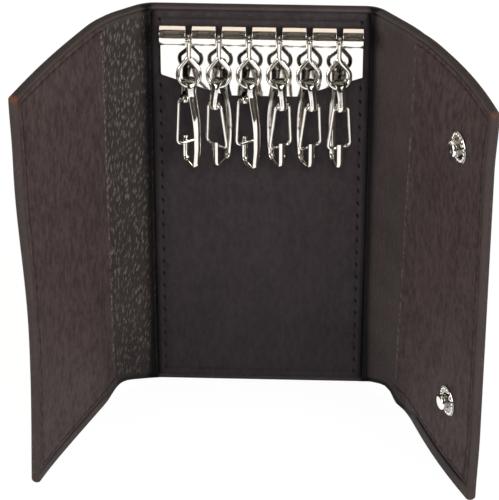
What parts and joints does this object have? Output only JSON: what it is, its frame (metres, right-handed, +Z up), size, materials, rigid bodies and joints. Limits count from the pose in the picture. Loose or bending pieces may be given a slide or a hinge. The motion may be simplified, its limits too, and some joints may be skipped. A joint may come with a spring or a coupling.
{
  "type": "key case",
  "caption": "Tri-fold leather key case standing open, with a metal key rail holding a row of swinging snap hooks and press studs on one flap.",
  "frame": {"origin": "middle of the back panel's lower edge, in the middle of the panel's thickness", "axes": "+X to the right as the open case is seen from its inside, +Y from the inside of the back panel to its outside, +Z up along the folds"},
  "size_m": [0.1148, 0.0532, 0.114],
  "materials": {
    "cover_leather": "dark grey-brown pebbled leather",
    "lining_leather": "dark brown-grey smooth leather lining",
    "fibre_board": "pressed fibre stiffener board",
    "nickel_plate": "bright nickel plating"
  },
  "bodies": {
    "case_back": {"back_cover": "cover_leather", "back_board": "fibre_board", "centre_panel": "lining_leather", "rail_plate": "nickel_plate", "rail_rod": "nickel_plate"},
    "left_spine": {"left_spine_cover": "cover_leather", "left_spine_board": "fibre_board", "left_spine_lining": "lining_leather"},
    "left_flap": {"left_flap_cover": "cover_leather", "left_flap_board": "fibre_board", "left_flap_lining": "lining_leather", "upper_snap_socket": "nickel_plate", "upper_snap_eyelet": "nickel_plate", "lower_snap_socket": "nickel_plate", "lower_snap_eyelet": "nickel_plate"},
    "right_spine": {"right_spine_cover": "cover_leather", "right_spine_board": "fibre_board", "right_spine_lining": "lining_leather"},
    "right_flap": {"right_flap_cover": "cover_leather", "right_flap_board": "fibre_board", "right_flap_lining": "lining_leather", "upper_snap_stud": "nickel_plate", "upper_snap_cap": "nickel_plate", "lower_snap_stud": "nickel_plate", "lower_snap_cap": "nickel_plate"},
    "eye_1": {"eye_1": "nickel_plate"},
    "hook_1": {"hook_1": "nickel_plate"},
    "gate_1": {"gate_1": "nickel_plate"},
    "eye_2": {"eye_2": "nickel_plate"},
    "hook_2": {"hook_2": "nickel_plate"},
    "gate_2": {"gate_2": "nickel_plate"},
    "eye_3": {"eye_3": "nickel_plate"},
    "hook_3": {"hook_3": "nickel_plate"},
    "gate_3": {"gate_3": "nickel_plate"},
    "eye_4": {"eye_4": "nickel_plate"},
    "hook_4": {"hook_4": "nickel_plate"},
    "gate_4": {"gate_4": "nickel_plate"},
    "eye_5": {"eye_5": "nickel_plate"},
    "hook_5": {"hook_5": "nickel_plate"},
    "gate_5": {"gate_5": "nickel_plate"},
    "eye_6": {"eye_6": "nickel_plate"},
    "hook_6": {"hook_6": "nickel_plate"},
    "gate_6": {"gate_6": "nickel_plate"}
  },
  "joints": [
    {"name": "left_spine_fold", "type": "hinge", "parent": "case_back", "child": "left_spine", "pos_m": [-0.0287, 0, 0.057], "axis": [0, 0, 1], "range_deg": [-35.5, 54.5]},
    {"name": "left_flap_fold", "type": "hinge", "parent": "left_spine", "child": "left_flap", "pos_m": [-0.03912, -0.00743, 0.057], "axis": [0, 0, 1], "range_deg": [-30.9, 59.1]},
    {"name": "right_spine_fold", "type": "hinge", "parent": "case_back", "child": "right_spine", "pos_m": [0.0287, 0, 0.057], "axis": [0, 0, -1], "range_deg": [-49, 41]},
    {"name": "right_flap_fold", "type": "hinge", "parent": "right_spine", "child": "right_flap", "pos_m": [0.04012, -0.01313, 0.057], "axis": [0, 0, -1], "range_deg": [-18.6, 71.4]},
    {"name": "eye_1_swing", "type": "hinge", "parent": "case_back", "child": "eye_1", "pos_m": [-0.01775, -0.004, 0.106], "axis": [1, 0, 0], "range_deg": [-100, 0]},
    {"name": "hook_1_swing", "type": "hinge", "parent": "eye_1", "child": "hook_1", "pos_m": [-0.01775, -0.00687, 0.0945], "axis": [1, 0, 0], "range_deg": [-30, 2]},
    {"name": "gate_1_press", "type": "hinge", "parent": "hook_1", "child": "gate_1", "pos_m": [-0.01873, -0.00524, 0.09], "axis": [-0.8572, -0.515, 0], "range_deg": [0, 10], "stiffness_Nm_per_rad": 0.002, "springref_deg": -11.46},
    {"name": "eye_2_swing", "type": "hinge", "parent": "case_back", "child": "eye_2", "pos_m": [-0.01025, -0.004, 0.106], "axis": [1, 0, 0], "range_deg": [-100, 0]},
    {"name": "hook_2_swing", "type": "hinge", "parent": "eye_2", "child": "hook_2", "pos_m": [-0.01025, -0.00687, 0.0945], "axis": [1, 0, 0], "range_deg": [-30, 2]},
    {"name": "gate_2_press", "type": "hinge", "parent": "hook_2", "child": "gate_2", "pos_m": [-0.01126, -0.00848, 0.09], "axis": [0.848, -0.5299, 0], "range_deg": [0, 10], "stiffness_Nm_per_rad": 0.002, "springref_deg": -11.46},
    {"name": "eye_3_swing", "type": "hinge", "parent": "case_back", "child": "eye_3", "pos_m": [-0.00275, -0.004, 0.106], "axis": [1, 0, 0], "range_deg": [-100, 0]},
    {"name": "hook_3_swing", "type": "hinge", "parent": "eye_3", "child": "hook_3", "pos_m": [-0.00275, -0.00687, 0.0945], "axis": [1, 0, 0], "range_deg": [-30, 2]},
    {"name": "gate_3_press", "type": "hinge", "parent": "hook_3", "child": "gate_3", "pos_m": [-0.00373, -0.00524, 0.09], "axis": [-0.8572, -0.515, 0], "range_deg": [0, 10], "stiffness_Nm_per_rad": 0.002, "springref_deg": -11.46},
    {"name": "eye_4_swing", "type": "hinge", "parent": "case_back", "child": "eye_4", "pos_m": [0.00475, -0.004, 0.106], "axis": [1, 0, 0], "range_deg": [-100, 0]},
    {"name": "hook_4_swing", "type": "hinge", "parent": "eye_4", "child": "hook_4", "pos_m": [0.00475, -0.00687, 0.0945], "axis": [1, 0, 0], "range_deg": [-30, 2]},
    {"name": "gate_4_press", "type": "hinge", "parent": "hook_4", "child": "gate_4", "pos_m": [0.0057, -0.00851, 0.09], "axis": [0.866, 0.5, 0], "range_deg": [0, 10], "stiffness_Nm_per_rad": 0.002, "springref_deg": -11.46},
    {"name": "eye_5_swing", "type": "hinge", "parent": "case_back", "child": "eye_5", "pos_m": [0.01225, -0.004, 0.106], "axis": [1, 0, 0], "range_deg": [-100, 0]},
    {"name": "hook_5_swing", "type": "hinge", "parent": "eye_5", "child": "hook_5", "pos_m": [0.01225, -0.00687, 0.0945], "axis": [1, 0, 0], "range_deg": [-30, 2]},
    {"name": "gate_5_press", "type": "hinge", "parent": "hook_5", "child": "gate_5", "pos_m": [0.0132, -0.00851, 0.09], "axis": [0.866, 0.5, 0], "range_deg": [0, 10], "stiffness_Nm_per_rad": 0.002, "springref_deg": -11.46},
    {"name": "eye_6_swing", "type": "hinge", "parent": "case_back", "child": "eye_6", "pos_m": [0.01975, -0.004, 0.106], "axis": [1, 0, 0], "range_deg": [-100, 0]},
    {"name": "hook_6_swing", "type": "hinge", "parent": "eye_6", "child": "hook_6", "pos_m": [0.01975, -0.00687, 0.0945], "axis": [1, 0, 0], "range_deg": [-30, 2]},
    {"name": "gate_6_press", "type": "hinge", "parent": "hook_6", "child": "gate_6", "pos_m": [0.0204, -0.00865, 0.09], "axis": [0.9397, 0.342, 0], "range_deg": [0, 10], "stiffness_Nm_per_rad": 0.002, "springref_deg": -11.46}
  ]
}
